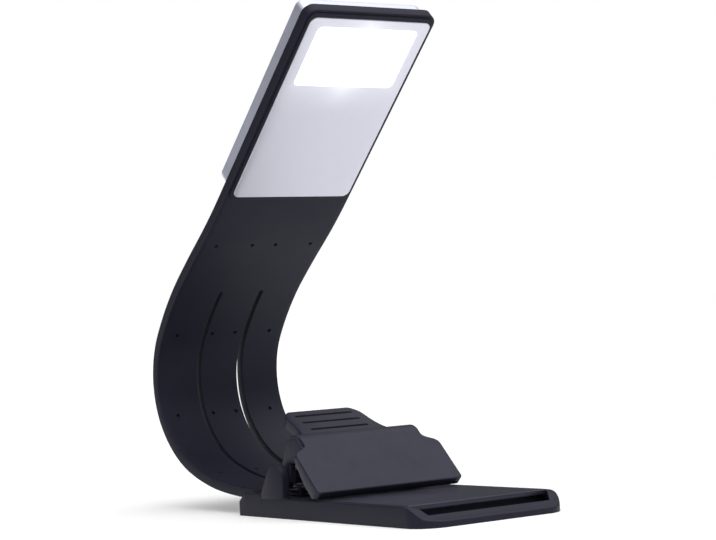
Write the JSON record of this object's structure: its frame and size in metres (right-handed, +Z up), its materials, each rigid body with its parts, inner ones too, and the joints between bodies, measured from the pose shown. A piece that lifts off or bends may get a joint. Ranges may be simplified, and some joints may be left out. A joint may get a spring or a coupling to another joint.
{
  "type": "clip-on reading light",
  "caption": "Clip-on reading light: sprung clip with a grooved thumb lever, a flat slit arm that bends, and a thin lamp head with a silver front plate.",
  "frame": {"origin": "middle of the clip's underside", "axes": "+X from the arm towards the clip's front lip, +Y across the light, +Z up"},
  "size_m": [0.1725, 0.061, 0.1757],
  "materials": {
    "clip_black": "satin",
    "plate_black": "satin",
    "pad_black": "matte",
    "arm_black": "matte",
    "frame_black": "satin",
    "button_black": "satin",
    "satin_silver": "satin",
    "housing_silver": "satin",
    "milky_window": "satin",
    "reflector_white": "matte",
    "board": "satin",
    "lamp_yellow": "gloss",
    "cell_foil": "satin",
    "clear_pipe": "gloss",
    "steel": "satin",
    "core_steel": "satin",
    "spring_steel": "polished"
  },
  "bodies": {
    "clip": {"clip_base": "clip_black", "base_top_plate": "plate_black", "plate_screws": "steel", "base_pad": "pad_black", "root_cover": "clip_black", "cover_screws": "steel", "pivot_pin": "steel", "clamp_spring": "spring_steel", "arm_root": "arm_black", "arm_core_root": "core_steel"},
    "jaw": {"clamp_jaw": "clip_black", "jaw_pad": "pad_black"},
    "lower_arm": {"arm_lower": "arm_black", "arm_core_lower": "core_steel"},
    "middle_arm": {"arm_middle": "arm_black", "arm_core_middle": "core_steel"},
    "upper_arm": {"arm_upper": "arm_black", "arm_core_upper": "core_steel"},
    "head": {"head_frame": "frame_black", "front_plate": "satin_silver", "diffuser": "milky_window", "reflector": "reflector_white", "led_board": "board", "leds": "lamp_yellow", "battery": "cell_foil", "control_board": "board", "tact_switch": "steel", "charge_socket": "steel", "status_window": "clear_pipe", "rear_housing": "housing_silver", "head_screws": "steel"},
    "button": {"power_button": "button_black"}
  },
  "joints": [
    {"name": "clip_opening", "type": "hinge", "parent": "clip", "child": "jaw", "pos_m": [-0.0298, 0, 0.0136], "axis": [0, -1, 0], "range_deg": [0, 38], "stiffness_Nm_per_rad": 0.25, "springref_deg": -28.65, "deforming": ["clamp_spring"]},
    {"name": "arm_bend_1", "type": "hinge", "parent": "clip", "child": "lower_arm", "pos_m": [-0.06942, 0, 0.00928], "axis": [0, 1, 0], "range_deg": [-15, 12]},
    {"name": "arm_bend_2", "type": "hinge", "parent": "lower_arm", "child": "middle_arm", "pos_m": [-0.11554, 0, 0.04585], "axis": [0, 1, 0], "range_deg": [-20, 15]},
    {"name": "arm_bend_3", "type": "hinge", "parent": "middle_arm", "child": "upper_arm", "pos_m": [-0.10184, 0, 0.0759], "axis": [0, 1, 0], "range_deg": [-25, 15]},
    {"name": "arm_bend_4", "type": "hinge", "parent": "upper_arm", "child": "head", "pos_m": [-0.06707, 0, 0.10593], "axis": [0, 1, 0], "range_deg": [-35, 20]},
    {"name": "button_press", "type": "slide", "parent": "head", "child": "button", "axis": [0.6871, 0, -0.7266], "range_m": [0, 0.00035], "stiffness_N_per_m": 1500, "springref_m": -0.0004}
  ]
}
